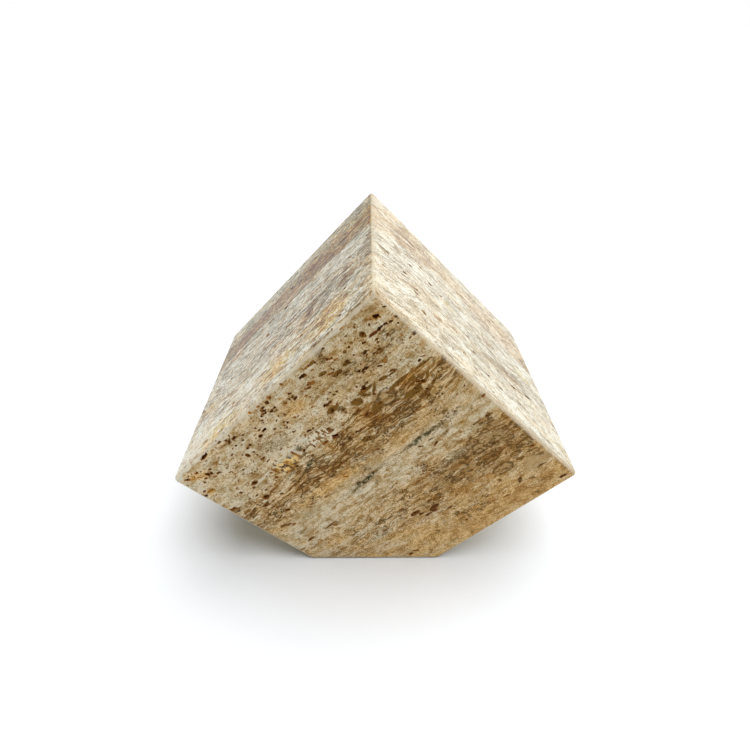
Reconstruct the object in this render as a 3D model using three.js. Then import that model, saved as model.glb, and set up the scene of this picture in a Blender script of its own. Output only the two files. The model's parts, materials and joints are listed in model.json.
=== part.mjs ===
// A cube of banded travertine, 100 mm along each edge, that stands on one of its edges.
// The bottom edge is sawn away to a flat foot, so the square end shows as a diamond with a blunt
// lower point. All the arrises are eased by polishing. Millimetres, +Z up; the origin is at the
// middle of the foot, +X runs to the right across the diamond, +Y runs from the front end to the back.

import * as THREE from "three";

const CUBE_EDGE = 100; // each edge of the cube before the foot is cut
const FOOT_WIDTH = 50.5; // across the flat, along X; it runs the whole depth along Y
const LEAN = THREE.MathUtils.degToRad(-0.91); // the cube's turn about Y, left corner downwards
const LONG_ARRIS_RADIUS = 1.5; // the arrises that run front to back
const END_ARRIS_RADIUS = 1.3; // the arrises round the front and back ends
const ARC_STEPS = 5; // straight steps in each quarter of a rounded arris

const STONE = new THREE.MeshStandardMaterial({
  color: 0xcbb999,
  roughness: 0.45,
  metalness: 0,
});

// The square section stands on a corner, half a diagonal from its centre to each corner.
const HALF_DIAGONAL = CUBE_EDGE / Math.SQRT2;
const CENTRE_HEIGHT = HALF_DIAGONAL - FOOT_WIDTH / 2;

// One corner of the leaning square, counted anticlockwise in quarter turns from the right corner.
function squareCorner(quarterTurns) {
  const angle = (quarterTurns * Math.PI) / 2 - LEAN;
  return new THREE.Vector2(
    HALF_DIAGONAL * Math.cos(angle),
    HALF_DIAGONAL * Math.sin(angle) + CENTRE_HEIGHT,
  );
}

// Where a side of the square that falls from one corner to another meets the plane of the foot.
function atFoot(upper, lower) {
  return upper.clone().lerp(lower, upper.y / (upper.y - lower.y));
}

// The five corners of the section, anticlockwise: right, top, left, and the two ends of the foot.
function sectionCorners() {
  const [right, top, left, bottom] = [0, 1, 2, 3].map(squareCorner);
  return [right, top, left, atFoot(left, bottom), atFoot(right, bottom)];
}

// A closed outline through the corners, each one rounded by an arc that touches both its sides.
function roundedOutline(corners, radius) {
  const outline = new THREE.Shape();
  corners.forEach((corner, i) => {
    const before = corners.at(i - 1).clone().sub(corner).normalize();
    const after = corners[(i + 1) % corners.length].clone().sub(corner).normalize();
    const halfAngle = Math.acos(before.dot(after)) / 2;
    const bisector = before.clone().add(after).normalize();
    const centre = corner.clone().addScaledVector(bisector, radius / Math.sin(halfAngle));
    const start = corner.clone().addScaledVector(before, radius / Math.tan(halfAngle));
    const end = corner.clone().addScaledVector(after, radius / Math.tan(halfAngle));
    const startAngle = start.sub(centre).angle();
    const endAngle = end.sub(centre).angle();
    outline.absarc(centre.x, centre.y, radius, startAngle, endAngle, false);
  });
  outline.closePath();
  return outline;
}

// The section drawn out along the depth, its two ends eased by a rounded bevel.
// The extrusion runs along its own +Z, so it is turned to lie along Y and centred there.
function cubeGeometry() {
  const outline = roundedOutline(sectionCorners(), LONG_ARRIS_RADIUS);
  const straight = CUBE_EDGE - 2 * END_ARRIS_RADIUS;
  const geometry = new THREE.ExtrudeGeometry(outline, {
    depth: straight,
    curveSegments: ARC_STEPS,
    bevelEnabled: true,
    bevelThickness: END_ARRIS_RADIUS,
    bevelSize: END_ARRIS_RADIUS,
    bevelOffset: -END_ARRIS_RADIUS,
    bevelSegments: ARC_STEPS,
  });
  return geometry.translate(0, 0, -straight / 2).rotateX(Math.PI / 2);
}

const cube = new THREE.Mesh(cubeGeometry(), STONE);
cube.name = "travertine_cube";

const group = new THREE.Group();
group.add(cube);

export default group;
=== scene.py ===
import json
import math
import random

import bmesh
import bpy
from mathutils import Euler, Matrix, Vector, noise
from mathutils.bvhtree import BVHTree

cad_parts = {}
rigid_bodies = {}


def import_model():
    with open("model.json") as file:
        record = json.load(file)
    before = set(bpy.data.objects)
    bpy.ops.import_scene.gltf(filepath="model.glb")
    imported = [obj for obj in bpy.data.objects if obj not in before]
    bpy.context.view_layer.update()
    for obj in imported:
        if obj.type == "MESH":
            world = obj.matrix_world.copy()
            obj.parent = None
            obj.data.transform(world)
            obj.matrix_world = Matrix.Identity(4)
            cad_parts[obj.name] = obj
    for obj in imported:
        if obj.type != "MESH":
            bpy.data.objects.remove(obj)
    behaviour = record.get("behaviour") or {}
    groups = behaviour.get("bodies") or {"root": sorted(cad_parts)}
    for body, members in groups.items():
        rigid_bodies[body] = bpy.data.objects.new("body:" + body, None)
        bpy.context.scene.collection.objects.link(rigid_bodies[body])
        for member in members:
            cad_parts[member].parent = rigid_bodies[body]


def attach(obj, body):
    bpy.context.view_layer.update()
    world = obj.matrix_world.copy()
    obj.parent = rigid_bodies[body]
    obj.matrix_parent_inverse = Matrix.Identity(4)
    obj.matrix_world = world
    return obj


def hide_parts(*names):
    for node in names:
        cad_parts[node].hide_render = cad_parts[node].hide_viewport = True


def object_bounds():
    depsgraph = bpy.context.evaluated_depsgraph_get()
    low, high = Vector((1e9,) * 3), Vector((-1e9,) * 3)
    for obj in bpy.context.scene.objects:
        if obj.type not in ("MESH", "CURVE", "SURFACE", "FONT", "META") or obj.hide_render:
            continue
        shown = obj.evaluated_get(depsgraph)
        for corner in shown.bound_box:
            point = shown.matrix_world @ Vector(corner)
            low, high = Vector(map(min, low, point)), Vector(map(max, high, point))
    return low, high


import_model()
cad_low, cad_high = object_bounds()

# ---------------------------------------------------------------------------------------------
# Camera. It looks down on the cube from close in front, through a short lens, so that the upper
# faces run away in strong perspective. Its places are worked out in edges of the cube.
# ---------------------------------------------------------------------------------------------

EDGE = cad_high.y - cad_low.y  # the cube's edge, which is its whole depth
CAMERA_PLACE = Vector((-0.029, -1.759, 1.759))  # in edges
TURNED_DOWN = math.radians(34.62)
TURNED_RIGHT = math.radians(0.86)
SENSOR_WIDTH = 36.0
LENS = 24.49

camera_data = bpy.data.cameras.new("camera")
camera_data.sensor_width = SENSOR_WIDTH
camera_data.lens = LENS
camera = bpy.data.objects.new("camera", camera_data)
camera.location = CAMERA_PLACE * EDGE
camera.rotation_mode = "YXZ"
camera.rotation_euler = (math.radians(90) - TURNED_DOWN, -TURNED_RIGHT, 0)
bpy.context.scene.collection.objects.link(camera)
bpy.context.scene.camera = camera

# ---------------------------------------------------------------------------------------------
# Studio. A white table that runs out of sight, one broad soft light almost overhead, and a dim
# warm white room: a left wall, a ceiling strip, and a low light behind on the right. The polish
# mirrors the low light in the upper right face.
# ---------------------------------------------------------------------------------------------

TABLE_HALF_WIDTH = 60.0
TABLE_WHITE = (0.915, 0.945, 0.98, 1)
TABLE_GLOW = 0.004
TABLE_ROUGHNESS = 0.9
KEY_STRENGTH = 3.46
KEY_SPREAD = math.radians(62)
KEY_FROM = Vector((0.17, 0.035, 0.98))
LEFT_WALL_LIGHT = 0.31
LOW_LEFT_LIGHT = 0.02
LOW_RIGHT_LIGHT = 2.8
CEILING_LIGHT = 0.26
ROOM_WHITE = (1.0, 0.95, 0.88, 1)

bpy.context.scene.view_settings.view_transform = "Standard"

table_mesh = bmesh.new()
bmesh.ops.create_grid(table_mesh, x_segments=1, y_segments=1, size=TABLE_HALF_WIDTH)
table_data = bpy.data.meshes.new("table")
table_mesh.to_mesh(table_data)
table_mesh.free()
table = bpy.data.objects.new("table", table_data)
bpy.context.scene.collection.objects.link(table)
table_paint = bpy.data.materials.new("white_table")
table_paint.use_nodes = True
table_shader = table_paint.node_tree.nodes["Principled BSDF"]
table_shader.inputs["Base Color"].default_value = TABLE_WHITE
table_shader.inputs["Roughness"].default_value = TABLE_ROUGHNESS
table_shader.inputs["Specular IOR Level"].default_value = 0.0
table_shader.inputs["Emission Color"].default_value = TABLE_WHITE
table_shader.inputs["Emission Strength"].default_value = TABLE_GLOW
table_data.materials.append(table_paint)

key_data = bpy.data.lights.new("key", "SUN")
key_data.energy = KEY_STRENGTH
key_data.angle = KEY_SPREAD
key = bpy.data.objects.new("key", key_data)
key.rotation_euler = KEY_FROM.to_track_quat("Z", "Y").to_euler()
bpy.context.scene.collection.objects.link(key)


class Wire:
    """A number, vector or colour on its way between shader nodes.

    A sum written with it adds a Math node. Every other node comes from Wire.node.
    """

    tree = None

    def __init__(self, socket):
        self.socket = socket

    @classmethod
    def node(cls, kind, settings, inputs, output=0):
        """Adds a node: its settings, then a value or a link for each socket named in inputs."""
        made = cls.tree.nodes.new("ShaderNode" + kind)
        for name, value in settings.items():
            if name == "stops":
                fill_ramp(made.color_ramp, value)
            else:
                setattr(made, name, value)
        for name, value in inputs.items():
            if isinstance(value, Wire):
                cls.tree.links.new(value.socket, made.inputs[name])
            else:
                made.inputs[name].default_value = value
        return cls(made.outputs[output])

    def maths(self, operation, other, swapped=False):
        pair = (other, self) if swapped else (self, other)
        return Wire.node("Math", {"operation": operation}, {0: pair[0], 1: pair[1]})

    def __add__(self, other):
        return self.maths("ADD", other)

    def __sub__(self, other):
        return self.maths("SUBTRACT", other)

    def __rsub__(self, other):
        return self.maths("SUBTRACT", other, swapped=True)

    def __mul__(self, other):
        return self.maths("MULTIPLY", other)

    __radd__ = __add__
    __rmul__ = __mul__

    def __abs__(self):
        return Wire.node("Math", {"operation": "ABSOLUTE"}, {0: self})

    def beside(self, name):
        """Another output of the same node."""
        return Wire(self.socket.node.outputs[name])

    def part(self, name):
        """One of the three numbers in a vector."""
        return Wire.node("SeparateXYZ", {}, {"Vector": self}, output=name)


def fill_ramp(ramp, stops):
    """Sets a colour ramp's stops, given as (position, (red, green, blue))."""
    while len(ramp.elements) < len(stops):
        ramp.elements.new(1.0)
    for element, (position, colour) in zip(ramp.elements, stops):
        element.position = position
        element.color = (*colour, 1)


def step(value, low, high):
    """A soft step: 0 below low, 1 above high."""
    return Wire.node(
        "MapRange",
        {"interpolation_type": "SMOOTHSTEP", "clamp": False},
        {"Value": value, "From Min": low, "From Max": high},
    )


room = bpy.data.worlds.new("room")
room.use_nodes = True
Wire.tree = room.node_tree
way = Wire.node("TexCoord", {}, {}, output="Generated")
right = way.part("X")
rear = way.part("Y")
up = way.part("Z")
# Patches of light with soft edges: low down at the rear, on the left wall, and across the ceiling.
low = (1 - step(up, 0.05, 0.5)) * step(rear, -0.1, 0.5)
left_wall = (1 - step(right, -0.8, 0.0)) * (1 - step(up, 0.3, 0.8))
low_lights = low * (step(right, -0.2, 0.6) * LOW_RIGHT_LIGHT + LOW_LEFT_LIGHT)
ceiling = step(rear, 0.0, 0.6) * step(up, 0.3, 0.6) * (1 - step(up, 0.7, 0.95))
strength = left_wall * LEFT_WALL_LIGHT + low_lights + ceiling * CEILING_LIGHT
room_shine = Wire.node("Background", {}, {"Color": ROOM_WHITE, "Strength": strength})
room_seen = Wire.node("Background", {}, {"Color": (1, 1, 1, 1)})
seen = Wire.node("LightPath", {}, {}, output="Is Camera Ray")
room_all = Wire.node("MixShader", {}, {0: seen, 1: room_shine, 2: room_seen})
room_end = room.node_tree.nodes["World Output"]
room.node_tree.links.new(room_all.socket, room_end.inputs["Surface"])
bpy.context.scene.world = room

# ---------------------------------------------------------------------------------------------
# The block. One piece of travertine, sawn to a cube and stood on an edge, with that edge sawn off
# level as a foot. The polisher eases every arris, and the upper left one at the front most of all.
# ---------------------------------------------------------------------------------------------

MM = 0.001
FOOT_WIDTH = 50.5 * MM
LEAN = math.radians(-0.91)
HALF_DIAGONAL = EDGE / math.sqrt(2)
CENTRE = Vector((0, 0, HALF_DIAGONAL - FOOT_WIDTH / 2))
ARRIS_WIDTH = 1.35 * MM
WIDE_ARRIS = 2.1 * MM
ARRIS_STEPS = 5

# The stone's own directions: along the layers, across them, and from the front end to the back.
ALONG = Euler((0, LEAN - math.radians(45), 0)).to_matrix() @ Vector((1, 0, 0))
ACROSS = Euler((0, LEAN + math.radians(45), 0)).to_matrix() @ Vector((1, 0, 0))
DEPTH = Vector((0, 1, 0))
CORNER = CENTRE - (ALONG + ACROSS + DEPTH) * EDGE / 2
STONE = Matrix.Translation(CORNER) @ Matrix((ALONG, ACROSS, DEPTH)).transposed().to_4x4()
STONE_MM = STONE @ Matrix.Scale(MM, 4)


def in_stone(point):
    """A place in the world as (along, across, depth) in millimetres from the left front corner."""
    return STONE_MM.inverted() @ point


def made_object(name, shape):
    """Turns a bmesh into an object at the origin."""
    data = bpy.data.meshes.new(name)
    shape.to_mesh(data)
    shape.free()
    made = bpy.data.objects.new(name, data)
    bpy.context.scene.collection.objects.link(made)
    return made


def finished_mesh(owner):
    """The mesh an object has once its modifiers are worked out."""
    bpy.context.view_layer.update()
    return bpy.data.meshes.new_from_object(
        owner.evaluated_get(bpy.context.evaluated_depsgraph_get())
    )


block = bmesh.new()
bmesh.ops.create_cube(block, size=EDGE, matrix=Matrix.Translation((EDGE / 2,) * 3))
bmesh.ops.transform(block, matrix=STONE, verts=block.verts)
sawn = bmesh.ops.bisect_plane(
    block,
    geom=block.verts[:] + block.edges[:] + block.faces[:],
    plane_co=(0, 0, 0),
    plane_no=(0, 0, 1),
    clear_inner=True,
)
cut_edges = [part for part in sawn["geom_cut"] if isinstance(part, bmesh.types.BMEdge)]
bmesh.ops.contextual_create(block, geom=cut_edges)
bmesh.ops.recalc_face_normals(block, faces=block.faces)

# The wide arris is the one at across 0 and depth 0. Each edge's weight is its share of that width.
weights = block.edges.layers.float.new("bevel_weight_edge")
for edge in block.edges:
    middle = in_stone((edge.verts[0].co + edge.verts[1].co) / 2)
    wide = middle.y < 1 and middle.z < 1
    edge[weights] = 1.0 if wide else ARRIS_WIDTH / WIDE_ARRIS

stone = made_object("travertine", block)
eased = stone.modifiers.new("eased arrises", "BEVEL")
eased.limit_method = "WEIGHT"
eased.width = WIDE_ARRIS
eased.segments = ARRIS_STEPS
eased.use_clamp_overlap = False
stone.data = finished_mesh(stone)
stone.modifiers.clear()
solid_block = BVHTree.FromObject(stone, bpy.context.evaluated_depsgraph_get())

# ---------------------------------------------------------------------------------------------
# The pores. Travertine is laid down round reeds and gas bubbles, so its faces are open pits with
# crisp rims, flattened along the layers. Each is cut out of the block as a few lumpy hollows.
# ---------------------------------------------------------------------------------------------

pore_draw = random.Random(1907)

# Each face's start, its two ways and the way into the stone, all in stone directions.
X_WAY = Vector((1, 0, 0))
Y_WAY = Vector((0, 1, 0))
Z_WAY = Vector((0, 0, 1))
SIDE = 100.0
foot_start = in_stone(Vector((0, -EDGE / 2, 0)))
foot_way = (in_stone(Vector((EDGE, -EDGE / 2, 0))) - foot_start).normalized()
FACES = {
    "front": (Vector((0, 0, 0)), X_WAY, Y_WAY, Z_WAY),
    "back": (Vector((0, 0, SIDE)), X_WAY, Y_WAY, -Z_WAY),
    "upper left": (Vector((0, 0, 0)), X_WAY, Z_WAY, Y_WAY),
    "upper right": (Vector((SIDE, 0, 0)), Y_WAY, Z_WAY, -X_WAY),
    "lower left": (Vector((0, 0, 0)), Y_WAY, Z_WAY, X_WAY),
    "lower right": (Vector((0, SIDE, 0)), X_WAY, Z_WAY, -Y_WAY),
    "foot": (foot_start, foot_way, Z_WAY, foot_way.cross(Z_WAY)),
}

# Pores that stand out: first way, second way, length, width, depth in millimetres, turn in degrees.
FRONT_PORES = (
    (17.0, 1.6, 4.0, 1.3, 1.6, -5),
    (26.0, 1.5, 1.5, 1.0, 1.2, 0),
    (28.3, 2.6, 1.2, 0.9, 1.0, 0),
    (47.0, 3.0, 2.5, 1.1, 1.0, -20),
    (4.0, 3.6, 2.4, 1.5, 1.2, 25),
    (6.3, 4.6, 2.0, 1.3, 1.3, -40),
    (8.8, 4.0, 1.6, 1.2, 1.2, 10),
    (11.5, 7.4, 3.0, 1.8, 1.8, 15),
    (9.0, 7.8, 1.6, 1.1, 1.0, 0),
    (13.5, 6.2, 1.3, 0.9, 0.9, 0),
    (5.0, 12.8, 3.0, 1.4, 1.2, 10),
    (3.0, 11.2, 1.6, 1.0, 1.0, 0),
    (40.5, 8.8, 2.0, 1.2, 1.4, 0),
    (37.5, 9.5, 1.5, 1.0, 1.2, 0),
    (27.8, 11.7, 1.6, 1.2, 0.9, 50),
    (95.0, 5.8, 2.4, 1.7, 1.8, 20),
    (93.3, 9.0, 2.4, 1.0, 1.6, 0),
    (88.5, 6.8, 1.2, 0.9, 1.2, 0),
    (87.0, 9.2, 0.9, 0.8, 1.2, 0),
    (82.5, 7.0, 1.0, 0.7, 1.0, 0),
    (98.0, 11.5, 0.9, 0.8, 1.2, 0),
    (79.6, 15.6, 1.9, 0.8, 1.5, -20),
    (78.4, 15.0, 0.9, 0.9, 1.2, 0),
    (84.0, 18.0, 1.3, 0.7, 1.5, 20),
    (86.7, 17.5, 1.4, 1.2, 0.5, 0),
    (66.8, 15.2, 0.9, 0.8, 1.3, 0),
    (61.8, 19.3, 1.3, 0.8, 1.4, 0),
    (56.0, 19.8, 0.8, 0.7, 1.2, 0),
    (64.5, 22.6, 0.8, 0.7, 1.2, 0),
    (55.4, 23.3, 1.3, 1.2, 0.9, 0),
    (50.3, 26.6, 2.5, 1.2, 0.8, 0),
    (54.6, 26.9, 2.2, 1.3, 1.8, 20),
    (60.8, 30.8, 1.7, 0.8, 1.5, 0),
    (57.2, 31.0, 0.8, 0.8, 1.2, 0),
    (54.3, 31.0, 0.7, 0.6, 1.0, 0),
    (28.9, 22.9, 2.6, 2.0, 0.8, 75),
    (31.4, 26.4, 2.4, 1.1, 0.7, 15),
    (34.5, 24.0, 3.6, 2.0, 1.0, 80),
    (39.3, 22.8, 3.6, 1.1, 0.8, 85),
    (35.2, 26.7, 1.6, 1.0, 1.6, -15),
    (18.6, 21.3, 2.4, 1.5, 1.3, 10),
    (17.0, 22.4, 1.3, 0.9, 0.9, 0),
    (11.0, 24.8, 1.5, 0.8, 1.0, 0),
    (18.8, 26.2, 1.2, 0.9, 1.1, 0),
    (21.5, 26.3, 0.9, 0.8, 1.0, 0),
    (15.8, 28.6, 2.0, 1.8, 1.3, 0),
    (12.5, 31.3, 2.0, 0.9, 1.0, 0),
    (21.0, 31.4, 1.5, 1.0, 1.0, 30),
    (88.3, 34.2, 1.0, 0.9, 1.1, 60),
    (91.5, 33.5, 1.6, 0.5, 1.0, -25),
    (88.9, 39.1, 0.8, 0.5, 1.0, 0),
    (90.3, 39.0, 0.7, 0.5, 1.0, 0),
    (9.0, 55.4, 2.6, 1.0, 0.9, 0),
    (8.0, 43.0, 2.0, 0.7, 0.8, 0),
    (47.3, 73.4, 2.7, 1.2, 1.2, 5),
    (53.5, 76.3, 3.0, 1.2, 0.9, -10),
    (49.5, 77.5, 1.6, 0.8, 0.8, 15),
    (58.0, 80.2, 1.3, 0.7, 0.9, 10),
    (57.2, 72.3, 3.0, 0.9, 0.5, 0),
    (65.0, 83.0, 1.6, 0.5, 0.7, -15),
    (39.0, 75.5, 2.0, 0.7, 0.6, 0),
    (75.6, 90.4, 1.3, 0.6, 0.8, 0),
    (71.0, 90.2, 1.5, 0.6, 0.7, 0),
)
UPPER_LEFT_PORES = (
    (36.0, 73.5, 2.0, 1.2, 1.5, 0),
    (50.0, 61.0, 2.4, 1.2, 1.6, 0),
    (25.5, 21.0, 2.2, 0.9, 1.2, 0),
    (47.0, 17.0, 3.0, 0.8, 1.2, 0),
    (56.5, 38.0, 3.5, 0.9, 0.9, -8),
    (87.0, 22.0, 1.3, 1.1, 1.3, 0),
    (66.5, 18.0, 1.6, 1.2, 1.1, 0),
    (2.5, 36.0, 2.0, 1.2, 1.3, 0),
    (40.8, 50.0, 1.6, 1.8, 1.0, 0),
    (26.0, 50.5, 1.6, 1.4, 1.0, 0),
    (70.0, 38.5, 1.6, 0.9, 0.9, 0),
    (69.0, 5.5, 1.0, 0.8, 1.0, 0),
    (86.0, 5.5, 1.2, 0.9, 1.1, 0),
)
UPPER_RIGHT_PORES = (
    (20.0, 29.0, 1.8, 1.2, 1.5, -20),
    (15.4, 38.0, 1.8, 1.3, 1.4, 20),
    (14.0, 34.5, 1.0, 0.8, 1.0, 0),
    (49.4, 24.0, 1.4, 1.0, 1.4, 0),
    (72.5, 25.5, 3.0, 1.0, 1.3, 18),
    (82.3, 28.5, 3.2, 0.9, 1.3, 12),
    (54.5, 15.0, 1.5, 0.9, 1.3, 0),
    (61.0, 14.0, 1.6, 0.9, 1.2, 0),
    (75.4, 80.0, 1.8, 1.5, 1.2, 0),
    (22.5, 18.0, 1.8, 1.3, 1.4, -20),
    (26.3, 60.0, 1.6, 1.4, 0.8, 0),
    (19.5, 51.0, 1.6, 1.2, 0.8, 0),
    (30.5, 51.5, 1.8, 1.2, 0.8, 0),
    (48.3, 34.0, 1.2, 0.9, 1.1, 0),
    (22.5, 8.5, 1.0, 0.8, 1.1, 0),
    (54.0, 5.5, 1.4, 0.7, 1.1, 20),
)

HOLLOWS_PER_WIDTH = 1.7  # so that neighbours in a pore overlap
SUNK = 0.15  # how far the middle of a hollow lies inside, as a share of its depth
LONGER = 1.2  # how much longer than wide each hollow is

hollows = []


def open_pore(face, first, second, length, width, deep, turn):
    """Adds one pore: a short run of overlapping lumpy hollows, its sizes in millimetres."""
    start, first_way, second_way, inwards = FACES[face]
    count = max(1, round(HOLLOWS_PER_WIDTH * length / width - 0.7))
    run = length - width
    for number in range(count):
        share = (number + 0.5) / count - 0.5 if count > 1 else 0.0
        offset = share * run * count / max(1, count - 1)
        radius = width / 2 * pore_draw.uniform(0.85, 1.2)
        middle = (
            start
            + first_way * (first + offset * math.cos(turn))
            + second_way * (second + offset * math.sin(turn) + pore_draw.uniform(-0.15, 0.15))
            + inwards * deep * SUNK
        )
        half_sizes = Vector((radius * LONGER, radius, deep * pore_draw.uniform(0.45, 0.8)))
        turned = Matrix((first_way, second_way, first_way.cross(second_way))).transposed()
        spin = turned @ Matrix.Rotation(turn, 3, "Z")
        hollows.append((middle, half_sizes, spin))


for first, second, length, width, deep, turn in FRONT_PORES:
    open_pore("front", first, second, length, width, deep, math.radians(turn))
for first, second, length, width, deep, turn in UPPER_LEFT_PORES:
    open_pore("upper left", first, second, length, width, deep, math.radians(turn))
for first, second, length, width, deep, turn in UPPER_RIGHT_PORES:
    open_pore("upper right", first, second, length, width, deep, math.radians(turn))

# The rest are strewn about: how many are tried on each face. Most are kept where the stone is
# porous, in the top layers of the ends and in patches of the sides, and few where it is dense.
# Sizes are in millimetres.
USUAL_WIDTH = 0.7
GREATEST_WIDTH = 1.4
POROUS_HEIGHT = 30.0
KEPT_IN_POROUS = 0.9
KEPT_IN_DENSE = 0.3
STREWN = {
    "front": 420,
    "back": 260,
    "upper left": 70,
    "upper right": 70,
    "lower left": 60,
    "lower right": 80,
    "foot": 40,
}
for face, count in STREWN.items():
    for number in range(count):
        first = pore_draw.uniform(1, SIDE - 1)
        second = pore_draw.uniform(1, SIDE - 1)
        width = min(GREATEST_WIDTH, USUAL_WIDTH * math.exp(pore_draw.gauss(0.0, 0.4)))
        length = width * pore_draw.uniform(1.0, 2.4)
        deep = width * pore_draw.uniform(0.5, 1.0)
        turn = pore_draw.gauss(0.0, 0.3)
        chance = pore_draw.random()
        if face in ("front", "back"):
            porous = second < POROUS_HEIGHT
        else:
            porous = noise.noise(Vector((first * 0.04, second * 0.1, count * 0.37))) > 0
        if face == "foot" and first > FOOT_WIDTH / MM:
            continue
        if chance < (KEPT_IN_POROUS if porous else KEPT_IN_DENSE):
            open_pore(face, first, second, length, width, deep, turn)

# Hollows that touch one another are cut one after the other, in as few rounds as will do.
LUMPY_REACH = 1.45  # about how far out the lumps come, in half sizes
rounds = []
for hollow in hollows:
    reach = max(hollow[1]) * LUMPY_REACH
    for cut in rounds:
        if all((hollow[0] - other[0]).length > reach + other_reach for other, other_reach in cut):
            cut.append((hollow, reach))
            break
    else:
        rounds.append([(hollow, reach)])

# A bigger hollow is cut with a finer ball, and only the smallest has no crumbs on its lumps. Sizes
# are half sizes in millimetres, and heights and counts are for a half size of 1.
SMALL_HOLLOW = 0.45
MIDDLING_HOLLOW = 0.9
LUMP_HEIGHT = 0.6
LUMP_COUNT = 1.3
CRUMB_HEIGHT = 0.3
CRUMB_COUNT = 3.2
for number, cut in enumerate(rounds):
    cutter = bmesh.new()
    for (middle, half_sizes, spin), reach in cut:
        greatest = max(half_sizes)
        fineness = 1 if greatest < SMALL_HOLLOW else 2 if greatest < MIDDLING_HOLLOW else 3
        ball = bmesh.ops.create_icosphere(cutter, subdivisions=fineness, radius=1.0)["verts"]
        for vert in ball:
            lump = noise.noise(vert.co * LUMP_COUNT + middle) * LUMP_HEIGHT
            crumb = 0.0
            if fineness > 1:
                crumb = noise.noise(vert.co * CRUMB_COUNT + middle) * CRUMB_HEIGHT
            vert.co *= 1 + lump + crumb
        shape = Matrix.Translation(middle) @ (spin @ Matrix.Diagonal(half_sizes)).to_4x4()
        bmesh.ops.transform(cutter, matrix=STONE_MM @ shape, verts=ball)
    tool = made_object(f"pore_tool_{number}", cutter)
    opened = stone.modifiers.new(tool.name, "BOOLEAN")
    opened.operation = "DIFFERENCE"
    opened.solver = "MANIFOLD"
    opened.object = tool

evenly = stone.modifiers.new("flat faces stay flat", "WEIGHTED_NORMAL")
evenly.keep_sharp = True
stone.data = finished_mesh(stone)
stone.modifiers.clear()
for tool in [owner for owner in bpy.data.objects if owner.name.startswith("pore_tool")]:
    bpy.data.objects.remove(tool)

# Chips that the cuts left loose are taken out, so the stone is one piece.
chipped = bmesh.new()
chipped.from_mesh(stone.data)
bodies = []
unmet = set(chipped.faces)
while unmet:
    body = [unmet.pop()]
    for face in body:
        for edge in face.edges:
            met = unmet.intersection(edge.link_faces)
            unmet -= met
            body.extend(met)
    bodies.append(body)
chips = [face for body in sorted(bodies, key=len)[:-1] for face in body]
bmesh.ops.delete(chipped, geom=chips, context="FACES")
chipped.to_mesh(stone.data)
chipped.free()

# How far each point lies below the polished face, in millimetres, for the walls' colour and painted
# shade.
below = stone.data.attributes.new("pore_depth", "FLOAT", "POINT")
for vert, depth_below in zip(stone.data.vertices, below.data):
    depth_below.value = solid_block.find_nearest(vert.co)[3] / MM

# Where the arris is rounded, from 0 on the flat faces to 1 a little way round. A point there is
# near two faces and just inside both. The wide arris starts further in. In millimetres.
ARRIS_REACH = 1.3
ARRIS_SKIN = 0.02
ARRIS_FULL = 0.15
WIDE_ARRIS_START = 0.1
# The arris value marks where the painted highlight along each rounding goes.
rounding = stone.data.attributes.new("arris", "FLOAT", "POINT")
for vert, rounded in zip(stone.data.vertices, rounding.data):
    spot = in_stone(vert.co)
    ways_in = sorted(
        (inwards.dot(spot - start) for start, first_way, second_way, inwards in FACES.values())
    )
    near = ways_in[1] < ARRIS_REACH and ways_in[0] > ARRIS_SKIN
    flat_part = WIDE_ARRIS_START if spot.y < 2 and spot.z < 2 else 0.0
    risen = (ways_in[0] - flat_part) / ARRIS_FULL
    rounded.value = max(0.0, min(1.0, risen)) if near else 0.0

# The faces laid out flat side by side, so that each stays whole on the map that colours are baked
# to: where each face's start lies on it, in millimetres. The foot lies turned.
MAP_SIZE = 270.0
MAP_GAP = 2.0
MAP_FIRST = MAP_GAP / 2
MAP_SECOND = MAP_FIRST + SIDE + MAP_GAP
MAP_THIRD = MAP_SECOND + SIDE + MAP_GAP
LOWER_RIGHT_SHOWN = 64.3  # what the foot's cut leaves of the lower right face
MAP_PLACES = {
    "front": (MAP_FIRST, MAP_FIRST),
    "back": (MAP_SECOND, MAP_FIRST),
    "upper left": (MAP_FIRST, MAP_SECOND),
    "upper right": (MAP_SECOND, MAP_SECOND),
    "lower left": (MAP_THIRD, MAP_FIRST),
    "lower right": (MAP_THIRD - SIDE + LOWER_RIGHT_SHOWN, MAP_SECOND),
    "foot": (MAP_FIRST, MAP_THIRD + FOOT_WIDTH / MM / 2),
}
layout = stone.data.uv_layers.new(name="OFBake")
for polygon in stone.data.polygons:
    middle = in_stone(polygon.center)
    face = min(FACES, key=lambda name: FACES[name][3].dot(middle - FACES[name][0]))
    start, first_way, second_way, inwards = FACES[face]
    left, bottom = MAP_PLACES[face]
    for corner in polygon.loop_indices:
        vert = stone.data.vertices[stone.data.loops[corner].vertex_index]
        out = in_stone(vert.co) - start
        first, second = out.dot(first_way), out.dot(second_way)
        if face == "foot":
            first, second = second, first
        layout.uv[corner].vector = ((left + first) / MAP_SIZE, (bottom + second) / MAP_SIZE)

# ---------------------------------------------------------------------------------------------
# The stone's colours. Layers of calcite a millimetre or so thick, stained by iron from chalk to
# umber. The front end cuts them lengthways; the long sides lie nearly flat to them.
# ---------------------------------------------------------------------------------------------


def most(first, second):
    """The greater of two values."""
    return Wire.node("Math", {"operation": "MAXIMUM"}, {0: first, 1: second})


def counted(place, lengths):
    """The place counted in the given lengths in millimetres, one for each direction."""
    shares = [1 / length for length in lengths]
    return Wire.node("VectorMath", {"operation": "MULTIPLY"}, {0: place, 1: shares})


def cloud(place, lengths, detail=3.0, roughness=0.6):
    """Noise in lumps about as long as lengths. It runs either side of 0, mostly within 1."""
    lumps = Wire.node(
        "TexNoise",
        {},
        {"Vector": counted(place, lengths), "Scale": 1.0, "Detail": detail, "Roughness": roughness},
    )
    return (lumps - 0.5) * (7.5 + 2.2 * detail)


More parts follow.
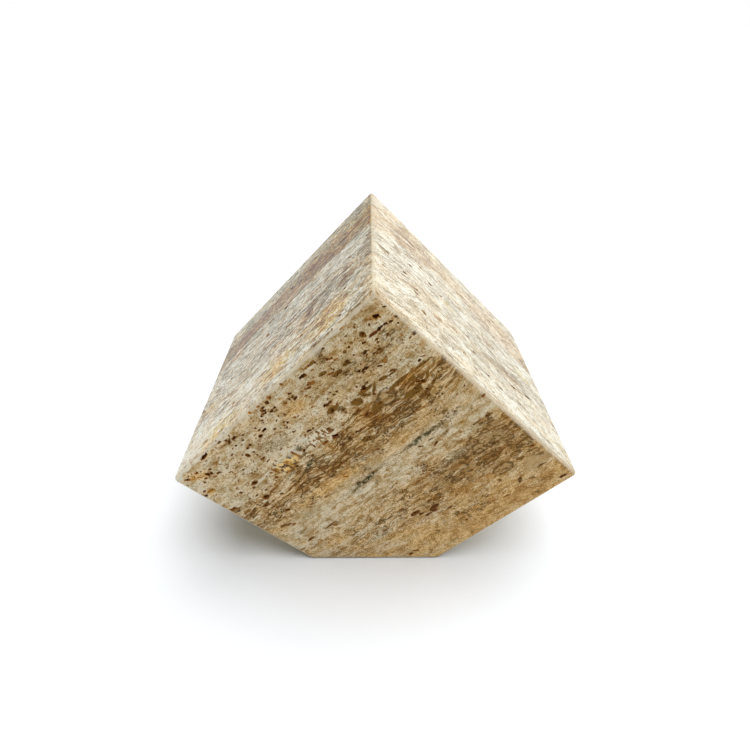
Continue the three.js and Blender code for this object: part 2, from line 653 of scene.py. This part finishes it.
def shifted(place, lengths, reach, detail=2.0):
    """The place pushed about by noise, by up to reach millimetres in each direction."""
    push = Wire.node(
        "TexNoise",
        {},
        {"Vector": counted(place, lengths), "Scale": 1.0, "Detail": detail},
        output="Color",
    )
    centred = Wire.node("VectorMath", {"operation": "SUBTRACT"}, {0: push, 1: (0.5, 0.5, 0.5)})
    return Wire.node(
        "VectorMath", {"operation": "MULTIPLY_ADD"}, {0: centred, 1: reach, 2: place}
    )


def spots(place, lengths, share, spread=1.2):
    """Spots strewn over a flat place: above 0 inside each, and the more so towards its middle.

    A greater share gives more of them, and bigger ones. Their sizes differ by up to the spread.
    """
    out = Wire.node(
        "TexVoronoi",
        {"voronoi_dimensions": "2D"},
        {"Vector": counted(place, lengths), "Scale": 1.0},
    )
    lot = out.beside("Color").part("X")
    return (lot - 1 + share) * spread - out


def tinted(under, over, share):
    """One colour laid over another, by a share from 0 to 1."""
    return Wire.node("Mix", {"data_type": "RGBA"}, {0: share, 6: under, 7: over}, output=2)


paint = bpy.data.materials.new("travertine")
paint.use_nodes = True
Wire.tree = paint.node_tree
satin = paint.node_tree.nodes["Principled BSDF"]

place = Wire.node(
    "Mapping",
    {"vector_type": "TEXTURE"},
    {
        "Vector": Wire.node("TexCoord", {}, {}, output="Object"),
        "Location": CORNER,
        "Rotation": STONE.to_euler(),
        "Scale": (MM, MM, MM),
    },
)
along = place.part("X")
across = place.part("Y")
depth = place.part("Z")

# On the ends the layers lie across the section; on the sides they lie in depth, and the upper left
# face is cut about ten millimetres higher in them. The back is cut through the same bed as the
# front, a little higher up, and its noise starts elsewhere.
BACK_HEIGHT = 13
BACK_START = 31
front = 1 - step(depth, 0.4, 1.6)
back = step(depth, 98.4, 99.6)
end = front + back
sides = 1 - end
near_left = 1 - step(across, 0, 25)
side_height = depth + across * 0.1 - 10 + near_left * (10 - step(along, 20, 70) * 2)
height = side_height + end * (across - side_height) + back * BACK_HEIGHT
width = across + end * (depth - across)
layers = Wire.node("CombineXYZ", {}, {"X": along + back * BACK_START, "Y": width, "Z": height})
swayed = shifted(layers, (30, 30, 30), (9, 9, 9))
rippled = shifted(swayed, (5, 5, 3), (3.6, 3.6, 2.5), detail=4)

beds = cloud(rippled, (60, 60, 5))
streaks = cloud(rippled, (13, 13, 1.5), detail=4, roughness=0.7)
hairs = cloud(rippled, (6.5, 6.5, 0.7), detail=3, roughness=0.7)
clots = cloud(rippled, (4.0, 4.0, 2.4), detail=4, roughness=0.75)
crumbs = cloud(rippled, (1.3, 1.3, 1.0), detail=3, roughness=0.9)
grain = cloud(place, (0.45, 0.45, 0.45), detail=1, roughness=0.8)
clusters = cloud(place, (9, 9, 6), detail=2)

# For each layer, at its height out of a hundred millimetres: how deeply it is stained, how finely
# it is laminated, and its hue from chalk through buff to gold.
END_BANDS = (
    (0.00, (0.11, 0.1, 0.48)),
    (0.14, (0.11, 0.1, 0.45)),
    (0.25, (0.15, 0.2, 0.45)),
    (0.285, (0.30, 0.6, 0.62)),
    (0.32, (0.43, 1.0, 0.76)),
    (0.365, (0.41, 1.0, 0.70)),
    (0.405, (0.24, 0.4, 0.68)),
    (0.44, (0.18, 0.2, 0.62)),
    (0.49, (0.10, 0.2, 0.42)),
    (0.55, (0.15, 0.2, 0.50)),
    (0.62, (0.26, 0.4, 0.68)),
    (0.70, (0.32, 0.5, 0.72)),
    (0.76, (0.28, 0.4, 0.75)),
    (0.82, (0.20, 0.2, 0.88)),
    (0.90, (0.20, 0.1, 0.96)),
    (1.00, (0.17, 0.1, 0.94)),
)
SIDE_BANDS = (
    (0.00, (0.13, 0.4, 0.20)),
    (0.12, (0.13, 0.4, 0.18)),
    (0.20, (0.22, 0.6, 0.20)),
    (0.30, (0.40, 0.9, 0.18)),
    (0.38, (0.40, 0.9, 0.15)),
    (0.45, (0.30, 0.8, 0.06)),
    (0.60, (0.32, 0.8, 0.08)),
    (0.66, (0.80, 1.0, 0.80)),
    (0.78, (0.84, 1.0, 0.85)),
    (0.87, (0.45, 0.9, 0.34)),
    (1.00, (0.36, 0.9, 0.22)),
)
bed_height = (rippled.part("Z") + beds * (1.3 + sides * 1.1) + streaks * 1.2 + clots * 0.7) * 0.01
end_bands = Wire.node("ValToRGB", {"stops": END_BANDS}, {"Fac": bed_height})
side_bands = Wire.node("ValToRGB", {"stops": SIDE_BANDS}, {"Fac": bed_height})
bands = tinted(side_bands, end_bands, end)
band_stain = bands.part("X")
laminated = bands.part("Y")
hue = bands.part("Z")
porous = (1 - step(laminated, 0.2, 0.6)) * (1 - step(across, 38, 50) * end)

# Every face unrolled flat, for the marks whose outline is crisp. First the strewn ones: painted pits
# with a dark core of painted shade, dots, soft rust, pale crystals that partly stand for painted
# glints, and the outlines of old grains and shells.
flat = Wire.node("CombineXYZ", {}, {"X": along + across * sides + back * BACK_START, "Y": height})
nibbled = shifted(flat, (1.4, 1.1, 1), (1.9, 1.5, 0), detail=2)
frayed = shifted(flat, (4, 2.5, 1), (4.5, 2.5, 0), detail=4)
pit_share = step(clusters, -0.8, 1.2) * (0.10 + porous * 0.12) + porous * 0.12 + 0.10
pits = spots(nibbled, (1.8, 1.25, 1), pit_share)
dots = spots(nibbled, (0.9, 0.7, 1), porous * 0.14 + 0.22)
crystals_and_glints = spots(nibbled, (1.2, 0.8, 1), 0.26)
rust = step(spots(frayed, (5.5, 2.8, 1), 0.36), -0.02, 0.16)
bent = shifted(flat, (6, 3.5, 1), (5, 2.6, 0), detail=1)
shells = spots(bent, (6.5, 3.2, 1), 1.35, spread=0.35)
small_shells = spots(bent, (3.1, 1.7, 1), 1.1, spread=0.35)
shell_lines = most(1 - step(abs(shells), 0.03, 0.10), 1 - step(abs(small_shells), 0.04, 0.14))
inner_lines = 1 - step(abs(shells - 0.15), 0.02, 0.06)

# Then the soft ones: dark laminae and pale ones, a broad mottle, and small blots, more of them
# where the layer is stained.
laminae = step(hairs + streaks * 0.5, 0.3, 0.9)
pale_laminae = step(cloud(rippled, (7, 7, 0.5), detail=3, roughness=0.7) + clots * 0.3, 0.8, 1.2)
mottle = step(cloud(place, (6.0, 6.0, 3.5), detail=4, roughness=0.65) + clots * 0.4, -0.4, 0.9)
blots = step(clots + crumbs * 0.3 + band_stain * 2.0, 1.5, 1.8)

# Single marks on the front end: first way, second way, half length, half width in millimetres,
# turn in degrees.
BROWN_MARKS = (
    (61.8, 19.0, 2.3, 1.2, 0),
    (69.5, 22.4, 2.1, 1.3, 15),
    (74.8, 20.9, 3.4, 0.5, 0),
    (73.4, 22.3, 2.0, 0.55, 43),
    (77.2, 22.3, 2.1, 0.55, -39),
    (81.9, 21.8, 1.6, 0.7, 10),
    (85.0, 22.3, 2.2, 0.3, 0),
    (61.6, 35.8, 1.8, 0.9, 20),
    (19.0, 21.0, 1.5, 0.8, 0),
    (15.8, 28.6, 1.4, 1.2, 0),
    (12.8, 31.0, 1.8, 0.6, 0),
    (37.8, 9.5, 0.9, 0.8, 0),
    (27.8, 11.9, 0.9, 1.1, 0),
    (28.7, 3.6, 1.6, 0.5, -30),
    (22.1, 17.5, 0.4, 0.35, 0),
    (23.3, 17.8, 0.4, 0.35, 0),
    (24.9, 17.9, 0.5, 0.3, 0),
    (71.0, 2.9, 1.4, 0.5, -15),
    (70.3, 7.9, 1.6, 0.6, 10),
    (73.3, 10.7, 1.6, 0.8, 0),
    (78.0, 10.2, 1.6, 0.8, 0),
    (80.5, 7.3, 0.7, 0.6, 0),
    (84.0, 6.4, 0.6, 0.5, 0),
    (88.5, 6.9, 1.0, 1.1, 0),
    (86.7, 17.8, 0.9, 0.8, 0),
    (72.5, 28.4, 2.2, 1.5, -20),
    (87.5, 28.0, 1.3, 0.8, 0),
    (84.0, 26.2, 5.5, 0.45, -4),
    (93.0, 26.6, 4.0, 0.35, 0),
    (84.8, 32.3, 3.2, 1.3, 10),
    (91.6, 30.6, 2.2, 0.35, -30),
    (92.0, 33.4, 2.2, 0.3, -25),
    (82.6, 73.0, 3.6, 0.45, 0),
    (83.8, 76.3, 2.8, 0.35, -3),
    (90.6, 78.7, 1.6, 0.6, 20),
    (95.4, 78.3, 1.9, 0.35, 10),
    (79.3, 82.0, 1.0, 0.6, 60),
    (84.5, 87.2, 0.8, 1.3, 30),
    (94.0, 86.6, 1.6, 0.25, 0),
    (75.5, 66.0, 1.3, 0.8, 30),
    (89.2, 67.1, 1.3, 0.7, 30),
    (90.5, 55.8, 1.6, 0.4, 0),
    (95.2, 55.7, 1.4, 0.4, 0),
    (56.0, 72.5, 2.7, 0.7, 0),
    (47.0, 73.5, 1.9, 0.8, 0),
    (54.0, 76.2, 2.5, 0.8, -10),
    (50.0, 77.3, 1.7, 0.4, 10),
    (9.3, 55.4, 2.0, 0.6, 0),
    (20.5, 55.2, 3.2, 0.5, 0),
    (8.0, 43.0, 1.6, 0.5, 0),
)
UMBER_STREAKS = (
    (88.0, 26.5, 9.0, 0.9, 2),
    (73.0, 28.6, 4.0, 2.0, -20),
    (83.0, 32.8, 6.0, 1.8, 0),
    (66.0, 31.5, 9.0, 0.8, 3),
    (45.0, 36.0, 15.0, 1.4, 4),
    (22.0, 34.5, 14.0, 1.6, 2),
    (4.0, 30.0, 7.0, 2.0, 0),
)
PALE_MARKS = (
    (75.2, 22.0, 1.3, 0.7, 0),
    (77.8, 27.4, 2.9, 2.4, -25),
    (94.0, 84.0, 5.5, 3.8, -10),
    (83.6, 65.0, 1.9, 2.0, 20),
    (83.6, 78.4, 3.1, 1.7, -8),
    (91.0, 64.8, 3.8, 2.2, 0),
    (61.8, 19.0, 0.5, 0.35, 0),
    (50.2, 26.0, 1.0, 0.6, 0),
)
WHITE_MARKS = (
    (76.4, 89.8, 1.6, 0.5, 25),
    (78.6, 90.3, 1.3, 0.5, -40),
    (71.5, 90.4, 1.3, 0.4, 0),
    (92.0, 77.5, 1.5, 0.4, -20),
    (4.0, 32.5, 2.8, 0.5, 3),
    (47.5, 23.5, 0.4, 2.0, 10),
    (57.5, 56.7, 1.6, 0.6, 30),
)
RING_MARKS = (
    (83.6, 65.0, 2.2, 2.3, 20),
    (83.6, 78.4, 3.6, 2.1, -8),
    (83.0, 70.3, 4.2, 1.3, 0),
    (77.8, 27.4, 3.2, 2.7, -25),
    (91.0, 75.2, 1.8, 1.3, 0),
    (84.3, 22.3, 0.6, 0.5, 0),
)
SLATE_MARKS = (
    (71.3, 48.0, 2.6, 0.9, 0),
    (70.9, 48.0, 1.2, 0.5, 0),
    (74.0, 47.6, 10.0, 1.0, 0),
    (44.0, 47.8, 2.0, 0.9, 0),
    (47.0, 48.4, 9.0, 1.0, -6),
    (42.0, 21.8, 1.6, 1.2, 60),
    (39.0, 29.4, 5.0, 0.8, -15),
    (75.5, 50.5, 1.4, 0.3, 0),
)
RED_MARKS = (
    (47.0, 73.5, 1.9, 0.9, 0),
    (54.0, 76.0, 2.2, 0.7, -10),
    (50.0, 77.3, 1.9, 0.4, 10),
    (53.0, 77.2, 1.0, 0.5, 0),
    (58.0, 80.2, 1.2, 0.4, 20),
    (50.3, 26.6, 1.3, 0.5, 0),
    (54.6, 26.9, 1.1, 0.6, 0),
    (53.5, 31.0, 1.2, 0.4, 0),
    (55.5, 24.3, 1.0, 0.6, 20),
    (90.5, 8.9, 1.6, 0.6, 5),
)
GREY_MARKS = (
    (38.0, 15.0, 10.0, 4.5, 8),
    (76.0, 62.0, 9.0, 2.6, 0),
    (28.0, 73.0, 10.0, 1.8, 4),
    (48.0, 48.0, 16.0, 2.4, -2),
    (76.0, 47.8, 15.0, 2.0, 0),
)
GOLD_MARKS = (
    (54.5, 10.0, 6.5, 3.0, 0),
    (36.0, 41.0, 17.0, 2.4, 3),
    (8.0, 5.0, 6.0, 3.0, 25),
    (4.5, 12.8, 3.0, 1.6, 0),
    (33.5, 24.3, 6.5, 3.0, 0),
    (95.0, 5.5, 2.6, 1.8, 0),
    (88.0, 26.8, 8.0, 1.0, 0),
    (85.0, 32.4, 3.6, 1.8, 0),
)
CRYSTAL_MARKS = (
    (33.5, 23.8, 6.5, 2.7, 0),
    (50.0, 23.0, 7.0, 2.6, 0),
)
FILLER_MARKS = (
    (2.0, 0.9, 2.7, 1.6, 0),
    (8.3, 0.4, 2.2, 1.3, 0),
    (13.4, 0.4, 1.9, 1.1, 0),
    (65.0, 0.2, 2.4, 0.7, 0),
    (75.0, 0.8, 3.4, 1.2, 0),
    (84.5, 0.6, 3.4, 1.2, 0),
)
# The same on the upper faces, where the first way runs on from the left one to the right one.
SIDE_BROWNS = (
    (5.0, 80.0, 3.0, 2.2, 0),
    (20.0, 76.0, 9.0, 2.0, 0),
    (34.0, 72.0, 1.2, 1.5, 0),
    (61.0, 78.0, 7.0, 2.0, 0),
    (40.0, 50.5, 0.9, 3.0, 0),
    (56.0, 38.0, 2.4, 0.7, -20),
    (66.0, 37.5, 16.0, 0.9, -4),
    (47.0, 17.0, 2.4, 0.6, 0),
    (68.0, 20.0, 4.0, 0.6, 5),
    (78.0, 13.0, 1.5, 4.0, 0),
    (151.0, 74.5, 2.0, 2.0, 0),
    (175.0, 79.0, 1.6, 1.6, 0),
    (175.0, 26.5, 7.0, 0.7, 12),
    (153.5, 15.2, 2.4, 1.0, 0),
    (160.0, 14.6, 2.4, 1.0, 0),
    (173.5, 15.8, 3.6, 1.0, 0),
    (122.5, 18.0, 1.2, 1.6, 0),
    (170.0, 33.0, 17.0, 4.0, 8),
    (165.0, 46.0, 6.0, 2.4, 20),
    (113.0, 54.0, 2.0, 4.0, 0),
    (140.0, 28.0, 2.0, 1.8, 0),
    (130.0, 25.0, 3.4, 1.4, 30),
    (105.0, 40.0, 3.0, 2.6, 40),
)
SIDE_DARKS = (
    (50.0, 61.0, 0.6, 1.6, 10),
    (55.5, 37.8, 1.8, 0.7, -20),
    (4.0, 34.5, 3.0, 0.8, -35),
    (26.0, 49.5, 1.4, 0.8, -30),
    (25.0, 20.5, 1.2, 0.7, 0),
    (46.0, 17.0, 1.8, 0.6, -5),
    (66.5, 18.2, 1.0, 0.6, 0),
    (76.0, 20.8, 1.2, 0.6, 10),
    (87.0, 22.5, 0.8, 1.0, 0),
    (90.5, 29.0, 0.7, 0.8, 0),
    (71.0, 38.0, 1.5, 0.6, -20),
    (85.0, 65.5, 1.4, 0.8, -10),
    (36.0, 73.5, 0.6, 1.0, 0),
    (86.0, 6.0, 0.8, 0.7, 0),
    (120.0, 28.5, 0.7, 1.3, -30),
    (149.0, 24.0, 0.8, 1.0, -30),
    (122.5, 17.5, 0.8, 0.8, 0),
    (154.0, 14.6, 0.7, 0.6, 0),
    (148.0, 33.5, 0.5, 1.2, -20),
    (173.0, 25.5, 1.8, 0.5, 25),
    (182.0, 29.0, 1.6, 0.5, 15),
    (126.0, 60.0, 0.9, 0.9, 0),
    (119.5, 51.0, 1.0, 1.0, 0),
    (130.0, 51.0, 1.2, 0.8, 0),
)
SIDE_GOLDS = (
    (80.0, 13.0, 11.0, 10.0, 0),
    (25.0, 6.0, 13.0, 5.0, 0),
    (56.0, 12.0, 10.0, 7.0, 0),
    (8.0, 32.0, 8.0, 4.0, 0),
    (139.0, 47.0, 5.0, 5.0, 0),
    (186.0, 47.0, 7.0, 5.0, 0),
)
SIDE_PALES = (
    (88.0, 52.0, 12.0, 12.0, 0),
    (8.0, 45.0, 9.0, 5.0, 0),
    (38.0, 17.0, 8.0, 5.0, 0),
    (128.0, 50.0, 12.0, 9.0, 0),
    (91.0, 71.0, 19.0, 14.0, 0),
    (14.0, 12.0, 20.0, 10.0, 0),
    (188.0, 71.0, 16.0, 10.0, 0),
    (190.0, 50.0, 14.0, 11.0, 0),
    (160.0, 8.0, 30.0, 5.0, 0),
)


def oval(spot, middle, half_sizes, turn=0.0):
    """How far out a flat place lies, in an oval: 0 in the middle and 1 on its rim."""
    out = Wire.node("VectorMath", {"operation": "SUBTRACT"}, {0: spot, 1: (*middle, 0)})
    total = 0
    for way, half_size in zip(Matrix.Rotation(math.radians(turn), 2).col, half_sizes):
        share = Wire.node(
            "VectorMath",
            {"operation": "DOT_PRODUCT"},
            {0: out, 1: (*(way / half_size), 0)},
            output="Value",
        )
        total = share * share + total
    return Wire.node("Math", {"operation": "SQRT"}, {0: total})


def marked(spot, marks, inner, outer, ring=False):
    """1 inside any of the marks, or on their rims, fading out across their edges."""
    total = None
    for first, second, half_length, half_width, turn in marks:
        out = oval(spot, (first, second), (half_length, half_width), turn)
        if ring:
            out = abs(out - 1)
        one = 1 - step(out, inner, outer)
        total = one if total is None else most(total, one)
    return total


face_place = Wire.node("CombineXYZ", {}, {"X": along, "Y": across})
ragged = shifted(face_place, (3.5, 2.5, 1), (2.2, 1.6, 0), detail=3)
uneven = shifted(face_place, (4, 3, 1), (3.2, 2.6, 0), detail=3)
side_place = Wire.node("CombineXYZ", {}, {"X": along + across, "Y": depth})
side_ragged = shifted(side_place, (5, 3, 1), (6.0, 3.0, 0), detail=4)
upper = sides * step(along - across, 0.0, 1.0)

brown_marks = marked(ragged, BROWN_MARKS, 0.85, 1.2) * front
red_marks = marked(ragged, RED_MARKS, 0.85, 1.2) * front
umber_streaks = marked(ragged, UMBER_STREAKS, 0.3, 1.3) * front
pale_marks = marked(uneven, PALE_MARKS, 0.85, 1.02) * front
white_marks = marked(ragged, WHITE_MARKS, 0.6, 1.1) * front
rings = marked(uneven, RING_MARKS, 0.08, 0.24, ring=True) * front
rings = rings * step(clots + crumbs * 0.3, -1.8, -0.7)
shell_lines = (shell_lines + inner_lines * 0.5) * step(clots + crumbs * 0.3, -1.5, -0.3)
slate_marks = marked(ragged, SLATE_MARKS, 0.3, 1.3) * front
grey_marks = marked(ragged, GREY_MARKS, 0.2, 1.2) * front
gold_marks = marked(ragged, GOLD_MARKS, 0.4, 1.2) * front
crystal_marks = marked(ragged, CRYSTAL_MARKS, 0.6, 1.1) * front
filler = marked(ragged, FILLER_MARKS, 0.85, 1.0) * front
side_browns = marked(side_ragged, SIDE_BROWNS, 0.3, 1.2) * upper
side_darks = marked(side_ragged, SIDE_DARKS, 0.7, 1.3) * upper
side_golds = marked(side_ragged, SIDE_GOLDS, 0.2, 1.2) * upper
side_pales = marked(side_ragged, SIDE_PALES, 0.3, 1.2) * upper

# Broad shades: first way, second way, half length, half width, and how much stain they add.
SHADES = (
    (85.0, 9.0, 32.0, 13.0, 0.11),
    (88.0, 50.0, 20.0, 7.0, 0.03),
    (88.0, 68.0, 34.0, 14.0, 0.10),
    (14.0, 68.0, 32.0, 16.0, -0.09),
    (24.0, 90.0, 26.0, 16.0, -0.09),
    (72.0, 91.0, 28.0, 11.0, 0.05),
    (12.0, 36.0, 24.0, 7.0, -0.04),
)
shade = 0
for first, second, half_length, half_width, amount in SHADES:
    spread = oval(ragged, (first, second), (half_length, half_width))
    shade = (1 - step(spread, 0.2, 1.4)) * amount + shade

# How deeply each place is stained: what its layer gives, and then what each kind of mark adds or takes
# away, with a painted sheen on the left faces. The upper right face is pale and nearly even. The lower
# ones go with the upper left.
shell_patches = step(clusters * 0.3 + band_stain * 3.0 + shade * front * 3.0, 0.75, 1.1) * end
olive_lines = most(rings * 0.8, shell_lines * shell_patches * 0.85)
stain_and_sheen = band_stain + shade * front + beds * 0.03 + clots * 0.035
right_side = sides * step(along, 98.8, 99.8)
left_side = sides - right_side
stain_and_sheen = stain_and_sheen + right_side * (0.19 - band_stain) * 0.8
# A painted sheen on the left faces: lighter towards along 0 and darker towards along 100, in the front
# part.
stain_and_sheen = stain_and_sheen + left_side * (step(along, 0, 100) - 0.45) * (0.18 - step(depth, 40, 60) * 0.20)
stain_and_sheen = stain_and_sheen + streaks * (0.02 + laminated * 0.05)
stain_and_sheen = stain_and_sheen + umber_streaks * (0.16 + hairs * 0.08)
far_left = left_side * step(depth, 45, 80)
stain_and_sheen = stain_and_sheen + (laminae - 0.3) * laminated * (0.40 + sides * 0.14 + left_side * 0.10 + far_left * 0.15)
stain_and_sheen = stain_and_sheen + (mottle - 0.4) * (0.12 - laminated * 0.04 - front * step(along, 45, 75) * 0.03)
stain_and_sheen = stain_and_sheen - pale_laminae * laminated * 0.28
stain_and_sheen = stain_and_sheen + blots * 0.10 + rust * 0.10
stain_and_sheen = stain_and_sheen + side_browns * 0.36 - side_pales * 0.16
lower = step(across, 50, 64) * end
crumbly = sides * 0.08 + left_side * 0.05 + far_left * 0.07 + lower * 0.03
stain_and_sheen = stain_and_sheen + crumbs * (0.035 + laminated * 0.045 + crumbly) + grain * (0.07 + lower * 0.04)
stain_and_sheen = stain_and_sheen + sides * (clots * 0.015 + hairs * 0.05) + left_side * clots * 0.035
stain_and_sheen = stain_and_sheen + slate_marks * (0.68 + crumbs * 0.32) + grey_marks * (0.06 + crumbs * 0.05)
# The pale crystal specks are partly painted glints.
stain_and_sheen = stain_and_sheen - step(crystals_and_glints, 0.02, 0.12) * (0.12 + porous * 0.08)
stain_and_sheen = stain_and_sheen + pale_marks * (0.28 - stain_and_sheen) * 0.6
stain_and_sheen = stain_and_sheen - white_marks * 0.35 - gold_marks * laminated * 0.15

# The calcite's own colour, dimmed by the stain's colour to the power of how much there is.
HUES = (
    (0.0, (0.82, 0.795, 0.675)),
    (0.2, (0.81, 0.745, 0.57)),
    (0.6, (0.85, 0.70, 0.46)),
    (1.0, (0.90, 0.64, 0.30)),
)
IRON = (0.163, 0.071, 0.0145, 1)
SLATE = (0.125, 0.117, 0.064, 1)
OCHRE = (0.93, 0.74, 0.28, 1)
GILDING_LEFT = 0.38  # how much of the ochre film lies on the golden layer at the far left
STAIN_LIMIT = 1.3
hue_noise = cloud(swayed, (12, 12, 5), detail=4)
hue = hue + hue_noise * (0.09 + sides * 0.07) + clots * 0.03 + rust * 0.2
hue = hue + gold_marks * 0.4 + side_golds * 0.2 + side_browns * 0.4 - side_pales * 0.1
hue = hue + (pale_marks * 0.5 + grey_marks * 0.6) * (0.45 - hue)
hue = hue - hue * right_side * 0.5
calcite = Wire.node("ValToRGB", {"stops": HUES}, {"Fac": hue})
greyness = most(most(slate_marks, grey_marks * 0.6), sides * (0.5 - hue * 0.9) + far_left * 0.6)
stain_colour = tinted(IRON, SLATE, greyness)
stain_and_sheen = stain_and_sheen + right_side * (0.17 - stain_and_sheen) * 0.22
stain_and_sheen = Wire.node("Clamp", {}, {"Value": stain_and_sheen, "Min": 0.0, "Max": STAIN_LIMIT})
film = Wire.node("Gamma", {}, {"Color": stain_colour, "Gamma": stain_and_sheen})
colour = Wire.node("VectorMath", {"operation": "MULTIPLY"}, {0: calcite, 1: film})
gilded = side_golds * (1 - right_side * 0.6) * step(clots + crumbs * 0.4, -1.2, 0.4)
gilded = gilded + far_left * step(band_stain, 0.45, 0.8) * GILDING_LEFT
gilding = Wire.node("Gamma", {}, {"Color": OCHRE, "Gamma": gilded})
colour = Wire.node("VectorMath", {"operation": "MULTIPLY"}, {0: colour, 1: gilding})

# Where the iron lies thick it is amber, and nearly black in the middle. The nearly black cores of the
# painted pits are painted shade.
AMBER = (0.25, 0.102, 0.017, 1)
HONEY = (0.225, 0.110, 0.018, 1)
RED = (0.14, 0.038, 0.006, 1)
OLIVE = (0.11, 0.055, 0.011, 1)
DARK_UMBER_AND_SHADE = (0.050, 0.015, 0.002, 1)
rims = most(step(pits, 0.0, 0.07), step(dots, 0.0, 0.10) * 0.8)
rims = rims * (1 - sides * 0.3)
rims = rims * (1 - pale_marks * 0.8)
# The dark core of each painted pit is painted shade, for the hollow that the pit stands for.
painted_pit_shade = step(pits, 0.08, 0.20)
brown_cores = brown_marks * step(crumbs + clots * 0.5, 0.6, 1.3)
colour = tinted(colour, OLIVE, olive_lines)
colour = tinted(colour, HONEY, most(brown_marks, side_darks * 0.9))
colour = tinted(colour, RED, red_marks)
colour = tinted(colour, AMBER, rims)
colour = tinted(colour, DARK_UMBER_AND_SHADE, most(rims * painted_pit_shade, brown_cores) * 0.92)

# Two long cavities are grown shut with crystals that stand like teeth: gold ones over a dark gap in the
# left cavity, and pale ones over amber in the right. The dark gaps are painted shade, and the gold
# teeth are lit up with a painted highlight.
GOLD_TOOTH_AND_HIGHLIGHT = (0.96, 0.66, 0.23, 1)
TOOTH_PALE = (0.86, 0.77, 0.56, 1)
teeth = cloud(place, (1.1, 1.9, 2.0), detail=2)
# The gap colour is painted shade between the teeth, and the tooth colour carries a painted highlight on
# the gold.
gap_shade = tinted(DARK_UMBER_AND_SHADE, AMBER, step(along, 40, 44))
tooth_and_highlight = tinted(GOLD_TOOTH_AND_HIGHLIGHT, TOOTH_PALE, step(along, 40, 44))
colour = tinted(colour, tooth_and_highlight, crystal_marks * step(teeth, 0.1, 0.5) * 0.9)
colour = tinted(colour, gap_shade, crystal_marks * (1 - step(teeth, -0.5, -0.2)) * 0.9)

# The rounding of each arris takes the best polish, and its pale colour is a painted highlight.
# The filler's pale cream is its own, made lighter still as a painted highlight, most near the left
# corner.
FILLER_AND_HIGHLIGHT = (0.82, 0.75, 0.57, 1)
ARRIS_HIGHLIGHT = (0.74, 0.67, 0.52, 1)
arris = Wire.node("Attribute", {"attribute_name": "arris"}, {}, output="Fac")
colour = tinted(colour, ARRIS_HIGHLIGHT, arris * (0.6 + crumbs * 0.12))
colour = tinted(colour, FILLER_AND_HIGHLIGHT, filler * (0.95 - step(along, 20, 60) * 0.5))

# The walls of the pores: golden crystals just inside, then umber that darkens to near black further
# down as painted shade.
pore_depth = Wire.node("Attribute", {"attribute_name": "pore_depth"}, {}, output="Fac")
WALL = (0.50, 0.21, 0.038, 1)
CRYSTAL = (0.95, 0.65, 0.22, 1)
# Umber with painted shade, for the bottoms of the pores: the deeper, the darker.
WALL_UMBER_AND_SHADE = (0.12, 0.037, 0.005, 1)
inside = step(pore_depth, 0.03, 0.15)
wall = tinted(WALL, CRYSTAL, step(crumbs + gold_marks * 2.5, 0.8, 1.8))
wall = tinted(wall, WALL_UMBER_AND_SHADE, step(pore_depth + crumbs * 0.12 - gold_marks * 0.8, 0.3, 0.9))
colour = tinted(colour, wall, inside * 0.95)

paint.node_tree.links.new(colour.socket, satin.inputs["Base Color"])

# The polish is a satin one, rougher inside the pores, with the grain just felt through it.
POLISH_ROUGHNESS = 0.27
WALL_ROUGHNESS = 0.3  # how much rougher the walls of the pores are
POLISH_IOR = 1.36
POLISH_SHINE = 0.25
POLISH_TINT = (0.1, 0.1, 0.1, 1)
RELIEF_STRENGTH = 0.4
RELIEF_DEPTH = 0.1 * MM
roughness = POLISH_ROUGHNESS + clots * 0.02 + inside * WALL_ROUGHNESS
paint.node_tree.links.new(roughness.socket, satin.inputs["Roughness"])
satin.inputs["IOR"].default_value = POLISH_IOR
satin.inputs["Specular IOR Level"].default_value = POLISH_SHINE
satin.inputs["Specular Tint"].default_value = POLISH_TINT

relief = grain * 0.1 + crumbs * 0.15 - step(pits, 0.05, 0.2) * 0.6
relief_settings = {"Height": relief, "Strength": RELIEF_STRENGTH, "Distance": RELIEF_DEPTH}
bump = Wire.node("Bump", {}, relief_settings)
paint.node_tree.links.new(bump.socket, satin.inputs["Normal"])

stone.data.materials.clear()
stone.data.materials.append(paint)

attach(stone, "root")
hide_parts("travertine_cube")
